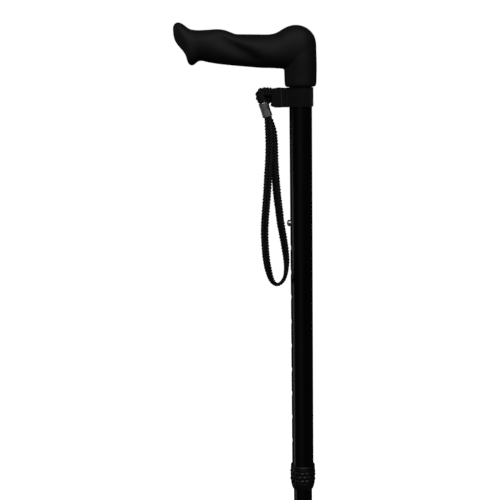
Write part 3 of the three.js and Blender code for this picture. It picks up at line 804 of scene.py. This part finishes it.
def make_lock():
    (_, _, low), (_, _, high) = span("threaded_collar")
    profile = rounded(
        [(11.25, low), (11.85, low), (11.85, 287.6), (12.5, 287.6), (12.5, 289), (11.6, high), (11.25, high)],
        0.45,
    )
    stands_for(solid("threaded_collar_turned", *lathe(profile, 96)), "threaded_collar")

    sides = PAD_COUNT * 16
    angles = np.arange(sides) * TAU / sides

    def ring(radius, z, grip=0.0):
        row = (z - PAD_LOW) / (PAD_HIGH - PAD_LOW) * PAD_ROWS
        across = np.abs(np.sin(PAD_COUNT * angles / 2 + (int(row) % 2) * math.pi / 2))
        tall = abs(math.sin(math.pi * row))
        r = radius + grip * (across * tall) ** 0.8
        return np.stack([r * np.cos(angles), r * np.sin(angles), np.full(sides, z)], 1)

    (_, _, bottom), (_, _, top) = span("lock_nut")
    foot = [(9.95, 264.6), (9.95, bottom), (10.5, bottom), (11.3, 265.2), (12.2, 268.6), (12.45, 271.4)]
    rings = [ring(r, z) for r, z in rounded(foot, 0.8, False)]
    rings += [ring(PAD_ROOT, z, PAD_RISE) for z in np.arange(PAD_LOW, PAD_HIGH + 0.01, 0.3)]
    shoulder = rounded([(12.45, 284.8), (12.7, 285.2), (12.55, top), (12.1, top)], 0.5, False)
    rings += [ring(r, z) for r, z in shoulder]
    rings += [ring(12.1, 273.3), ring(11.6, 272.6), ring(10.7, 264.9)]
    stands_for(solid("lock_nut_knurled", *skin(rings, loop=True), 50), "lock_nut")


# ---------- strap band ----------
def arc(radius, start, end, steps):
    return [(radius * math.cos(a), radius * math.sin(a)) for a in np.linspace(start, end, steps)]


MOUTH_SLANT = 0.17  # the pocket's mouth leans out towards its bottom
STITCH_OUT, STITCH_ROWS, STITCH_STEP = 1.38, (-15.6, -17.2), 2.1
BAND_INNER, BAND_HALF_THICK, BAND_LEAVES_TUBE = 11.4, 0.55, 2.45


def band_line():
    """The webbing's middle line seen from above: round the tube, sewn flat, then open as a pocket."""
    half = arc(BAND_INNER + BAND_HALF_THICK, 0, BAND_LEAVES_TUBE, 40)
    half += [(-12.2, 4.4), (-13.9, 1.6), (-15.4, 0.82), (-17.3, 0.82)]
    half += [(-18.7, 2.2), (-19.9, 4.6), (-21.6, 5.7), (-23.8, 5.75), (-26.3, 5.75)]
    half = smooth_route([(x, y, 0) for x, y in half], 0.35)[:, :2]
    other = half[::-1] * (1, -1)
    return np.concatenate([other[:-1], half])


def make_band():
    line = band_line()
    tangent = unit(np.gradient(line, axis=0))
    out = np.stack([tangent[:, 1], -tangent[:, 0]], 1)
    low, high = span("strap_band")
    rings = []
    for (x, y), (ox, oy) in zip(line, out):
        end = ramp(-x, 21, 26.4)
        top = high[2] - 0.8 * end - 0.25 * math.sin(x * 0.35) * ramp(-x, 12, 20)
        bottom = low[2] + 0.5 * ramp(x, -14, -8) + 1.6 * ramp(-x, 22, 26.4) ** 2 + 0.2
        section = rounded([(-0.52, bottom), (0.52, bottom), (0.52, top), (-0.52, top)], 0.35, steps=3)
        tall = []
        for across, z in section:
            tall.append((x + ox * across - MOUTH_SLANT * (high[2] - z) * end, y + oy * across, z))
        rings.append(tall)
    points, faces = skin(rings)
    band = solid("strap_band_woven", points, faces, 50)
    stands_for(band, "strap_band")

    thread = lathe([(0, -0.8), (0.12, -0.6), (0.18, 0), (0.12, 0.6), (0, 0.8)], 8, closed=False)
    stitches = [
        turned(thread, (0, 0, 1), (x, y, z))
        for y in (-STITCH_OUT, STITCH_OUT)
        for x in STITCH_ROWS
        for z in np.arange(660.6, 675.2, STITCH_STEP)
    ]
    sewn = solid("strap_band_stitches", *together(stitches))
    sewn.data.materials.append(FINISHES["webbing"])
    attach(sewn, "strap")


# ---------- base ----------
FOOT_X, FOOT_Y, FOOT_R = 86, 60, 15.5
LEG_R, LEG_Z, LEG_Y, CROWN, KNEE_Z, BEND, LEG_BOTTOM = 8, 68, 13, 42, 45, 15, 8.5
LEG_WALL = 1.5
NUT_R = 5.8
BOLT_X, BOLT_R = 18, 3
HUB_X, HUB_Y, HUB_LOW, HUB_HIGH, BOSS_R, BOSS_TOP = 26, 25, 69, 83, 14.2, 126
CLAMP_LOW, CLAMP_HIGH = 56.5, 67


def bent_line(corners, reach, step):
    """Straight runs joined by bends that take `reach` off each run."""
    corners = [np.array(c, dtype=float) for c in corners]
    dense = [corners[0]]
    for before, corner, after in zip(corners, corners[1:], corners[2:]):
        start = corner + unit(before - corner) * reach
        end = corner + unit(after - corner) * reach
        for t in np.linspace(0, 1, 25):
            dense.append((1 - t) ** 2 * start + 2 * t * (1 - t) * corner + t * t * end)
    dense = np.array([*dense, corners[-1]])
    along = np.concatenate([[0], np.cumsum(np.linalg.norm(np.diff(dense, axis=0), axis=1))])
    places = np.linspace(0, along[-1], round(along[-1] / step))
    return np.stack([np.interp(places, along, dense[:, k]) for k in range(3)], 1)


def make_legs():
    for name, side in (("leg_tube_near", -1), ("leg_tube_far", 1)):
        line = bent_line(
            [
                (-FOOT_X, side * FOOT_Y, LEG_BOTTOM),
                (-FOOT_X, side * FOOT_Y, KNEE_Z),
                (-CROWN, side * LEG_Y, LEG_Z),
                (CROWN, side * LEG_Y, LEG_Z),
                (FOOT_X, side * FOOT_Y, KNEE_Z),
                (FOOT_X, side * FOOT_Y, LEG_BOTTOM),
            ],
            BEND,
            1.6,
        )
        first, second = carried_frames(line, (1, 0, 0))
        angles = np.arange(56) * TAU / 56
        cosines, sines = np.cos(angles)[None, :, None], np.sin(angles)[None, :, None]
        circle = first[:, None] * cosines + second[:, None] * sines
        outer = line[:, None] + LEG_R * circle
        inner = line[:, None] + (LEG_R - LEG_WALL) * circle
        leg = solid(f"{name}_bent", *skin(np.concatenate([outer, inner[::-1]]), loop=True), 60)
        stands_for(leg, name)


def make_feet():
    tread = [(0, 1.4)]
    for r in (2.4, 5.2, 8.0, 10.8):
        tread += [(r, 1.4), (r + 0.3, 0), (r + 1.6, 0), (r + 1.9, 1.4)]
    tread += [(12.9, 1.4), (13.2, 0), (14.6, 0), (FOOT_R, 1.1)]
    wall = [(FOOT_R, 2.2), (15.1, 2.6), (FOOT_R, 3.0), (FOOT_R, 4.0), (15.1, 4.4), (FOOT_R, 4.8), (15.2, 5.6)]
    wall += [(12.6, 11), (11.5, 14), (11.2, 16), (11.2, 17), (11.6, 17.6), (11.2, 18.2), (10.9, 25)]
    wall += [(10.7, 27.3), (9.8, 28), (8.35, 28), (8.35, 6.8), (0, 6.8)]
    number = 1
    for x in (-FOOT_X, FOOT_X):
        for y in (-FOOT_Y, FOOT_Y):
            profile = rounded(tread + wall, 0.35, closed=False, steps=2)
            tip = solid(f"foot_tip_{number}_ribbed", *lathe(profile, 72, (x, y), closed=False), 50)
            stands_for(tip, f"foot_tip_{number}")
            number += 1


def rounded_plate(half_x, half_y, low, high, corner=5):
    corners = [(-half_x, -half_y), (half_x, -half_y), (half_x, half_y), (-half_x, half_y)]
    return prism(rounded(corners, corner, steps=6), low, high)


def leg_channels(radius):
    return [rod(radius, (-60, side * LEG_Y, LEG_Z), (60, side * LEG_Y, LEG_Z), 64) for side in (-1, 1)]


def bolt_bores(low, high):
    places = [(x, y) for x in (-BOLT_X, BOLT_X) for y in (-LEG_Y, LEG_Y)] + [(0, 0)]
    return [rod(BOLT_R + 0.3, (x, y, low), (x, y, high), 40) for x, y in places]


def make_hub():
    boss = rounded(
        [
            (0, HUB_HIGH - 3),
            (BOSS_R + 2.4, HUB_HIGH - 3),
            (BOSS_R + 0.6, HUB_HIGH + 5),
            (BOSS_R, BOSS_TOP - 8),
            (BOSS_R - 0.3, BOSS_TOP),
            (0, BOSS_TOP),
        ],
        1.6,
        closed=False,
    )
    parts = [rounded_plate(HUB_X, HUB_Y, HUB_LOW, HUB_HIGH), lathe(boss, 96, closed=False)]
    web = [(10, HUB_HIGH - 2), (23, HUB_HIGH - 2), (23, HUB_HIGH + 1.5)]
    web += [(13.5, BOSS_TOP - 14), (10, BOSS_TOP - 14)]
    for k in range(4):
        points, faces = prism(web, -2, 2)
        upright = np.stack([points[:, 0], points[:, 2], points[:, 1]], 1)
        turn = k * math.pi / 2
        c, s = math.cos(turn), math.sin(turn)
        parts.append((upright @ np.array([[c, s, 0], [-s, c, 0], [0, 0, 1]]), faces))
    hub = melted(solid("base_hub_cast", *together(parts)), 0.7, 5)
    stem = rod(9.825, (0, 0, 78.7), (0, 0, BOSS_TOP + 5), 96)
    carve(hub, *leg_channels(LEG_R + 0.3), stem, *bolt_bores(HUB_LOW - 5, HUB_HIGH + 4), crease=50)
    stands_for(hub, "base_hub")

    clamp = melted(solid("clamp_plate_cast", *rounded_plate(HUB_X, HUB_Y, CLAMP_LOW, CLAMP_HIGH)), 0.7, 5)
    carve(clamp, *leg_channels(LEG_R + 0.3), *bolt_bores(CLAMP_LOW - 5, CLAMP_HIGH + 5), crease=50)
    stands_for(clamp, "clamp_plate")


def bolt_shape(low, seat):
    """A button-head bolt standing on z = low, its head sitting on z = seat, and its socket."""
    shank = [(0, low), (BOLT_R - 0.6, low), (BOLT_R, low + 0.7)]
    for k in range(6):
        shank += [(BOLT_R, low + 0.7 + k), (BOLT_R - 0.35, low + 1.2 + k)]
    shank += [(BOLT_R, low + 7), (BOLT_R, seat)]
    head = [(5.2, seat), (5.2, seat + 1.1)]
    for a in np.linspace(0.15, 1.5, 8):
        head.append((5.2 - 2.2 * (1 - math.cos(a)), seat + 1.1 + 2.3 * math.sin(a)))
    shape = lathe(shank + rounded(head, 0.2, False, 2) + [(0, seat + 3.4)], 48, closed=False)
    return shape, prism(hexagon(2.3), seat + 1.3, seat + 5)


def make_bolts():
    nut_low, nut_high = CLAMP_LOW - 5.3, CLAMP_LOW - 0.3
    number = 1
    for x in (-BOLT_X, BOLT_X):
        for y in (-LEG_Y, LEG_Y):
            shape, socket = bolt_shape(CLAMP_LOW - 6.5, HUB_HIGH + 0.3)
            move = np.array([x, y, 0])
            bolt = solid(f"leg_bolt_{number}_socket", shape[0] + move, shape[1])
            carve(bolt, (socket[0] + move, socket[1]))
            stands_for(bolt, f"leg_bolt_{number}")

            blank = prism(hexagon(NUT_R), nut_low, nut_high)
            nut = solid(f"leg_nut_{number}_hex", blank[0] + move, blank[1])
            cone = [(0, nut_low), (4.9, nut_low), (NUT_R, nut_low + 0.7)]
            cone += [(NUT_R, nut_high - 0.5), (5.2, nut_high), (0, nut_high)]
            carve(nut, lathe(cone, 48, (x, y), closed=False), operation="INTERSECT")
            carve(nut, rod(BOLT_R + 0.25, (x, y, nut_low - 1), (x, y, nut_high + 1), 40))
            stands_for(nut, f"leg_nut_{number}")
            number += 1

    shape, socket = bolt_shape(-100, -CLAMP_LOW + 0.3)
    flip = np.array([1, -1, -1])
    stem = solid("stem_bolt_socket", shape[0] * flip, shape[1])
    carve(stem, (socket[0] * flip, socket[1]))
    stands_for(stem, "stem_bolt")


# ---------- pieces that keep their CAD mesh ----------
def finish_inner_pieces():
    kept = ["handle_plug", "guide_bush", "button_spring", "grip_ring", "stem_plug"]
    kept += [f"tip_washer_{k}" for k in (1, 2, 3, 4)]
    for name in kept:
        node = frame["nodes"][name]
        material = FINISHES[SLOT_OF[name]]
        for entry in node.material_slots:
            entry.material = material
        if not node.material_slots:
            node.data.materials.append(material)


make_grip()
make_screw()
make_tubes()
make_button()
make_lock()
make_band()
make_legs()
make_feet()
make_hub()
make_bolts()
finish_inner_pieces()


# ---------- studio ----------
FLOOR_RADIUS, FLOOR_Z, FLOOR_SIDES = 9, -0.0002, 96
AMBIENT = 0.02  # the light that the pieces feel from the backdrop


def lamp(name, place, size, power, toward=(0, 0, 0.6), glossy=True):
    light = bpy.data.lights.new(name, "AREA")
    light.shape = "RECTANGLE"
    light.size, light.size_y = size
    light.energy = power
    holder = bpy.data.objects.new(name, light)
    holder.location = place
    holder.rotation_euler = (Vector(toward) - Vector(place)).to_track_quat("-Z", "Y").to_euler()
    holder.visible_camera = False
    holder.visible_glossy = glossy
    bpy.context.scene.collection.objects.link(holder)


def add_studio():
    world = bpy.data.worlds.new("studio")
    bpy.context.scene.world = world
    world.use_nodes = True
    tree = world.node_tree
    for node in list(tree.nodes):
        tree.nodes.remove(node)
    seen = tree.nodes.new("ShaderNodeBackground")
    seen.inputs["Color"].default_value = (1, 1, 1, 1)
    seen.inputs["Strength"].default_value = 1.0
    felt = tree.nodes.new("ShaderNodeBackground")
    felt.inputs["Color"].default_value = (1, 1, 1, 1)
    felt.inputs["Strength"].default_value = AMBIENT
    path = tree.nodes.new("ShaderNodeLightPath")
    choice = tree.nodes.new("ShaderNodeMixShader")
    out = tree.nodes.new("ShaderNodeOutputWorld")
    tree.links.new(path.outputs["Is Camera Ray"], choice.inputs[0])
    tree.links.new(felt.outputs[0], choice.inputs[1])
    tree.links.new(seen.outputs[0], choice.inputs[2])
    tree.links.new(choice.outputs[0], out.inputs[0])

    lamp("key", (0.25, -1.7, 2.1), (2.2, 1.5), 21)
    lamp("rim_left", (-1.6, 0.36, 0.6), (0.5, 2.6), 2.4)
    lamp("soft_front", (-0.55, -2.1, 0.5), (1.9, 2.4), 0.9)
    lamp("fill_left", (-1.5, -1.6, 1.1), (0.8, 1.2), 0.9, glossy=False)

    floor_mesh = bpy.data.meshes.new("floor")
    turns = [k * TAU / FLOOR_SIDES for k in range(FLOOR_SIDES)]
    edge = [(FLOOR_RADIUS * math.cos(a), FLOOR_RADIUS * math.sin(a), FLOOR_Z) for a in turns]
    floor_mesh.from_pydata(edge, [], [tuple(range(FLOOR_SIDES))])
    floor = bpy.data.objects.new("floor", floor_mesh)
    bpy.context.scene.collection.objects.link(floor)
    paper = bpy.data.materials.new("paper")
    paper.use_nodes = True
    shader = paper.node_tree.nodes["Principled BSDF"]
    shader.inputs["Base Color"].default_value = (0.8, 0.8, 0.8, 1)
    shader.inputs["Roughness"].default_value = 0.9
    shader.inputs["Specular IOR Level"].default_value = 0
    shader.inputs["Emission Color"].default_value = (1, 1, 1, 1)
    coords = paper.node_tree.nodes.new("ShaderNodeTexCoord")
    distance = paper.node_tree.nodes.new("ShaderNodeVectorMath")
    distance.operation = "LENGTH"
    glow = paper.node_tree.nodes.new("ShaderNodeMapRange")
    for name, value in (("From Min", 0.12), ("From Max", 0.5), ("To Min", 0.8), ("To Max", 1.0)):
        glow.inputs[name].default_value = value
    paper.node_tree.links.new(coords.outputs["Object"], distance.inputs[0])
    paper.node_tree.links.new(distance.outputs["Value"], glow.inputs["Value"])
    paper.node_tree.links.new(glow.outputs[0], shader.inputs["Emission Strength"])
    floor_mesh.materials.append(paper)
    floor.visible_glossy = False
    floor.visible_diffuse = False
    bpy.context.scene.view_settings.view_transform = "Standard"


add_studio()
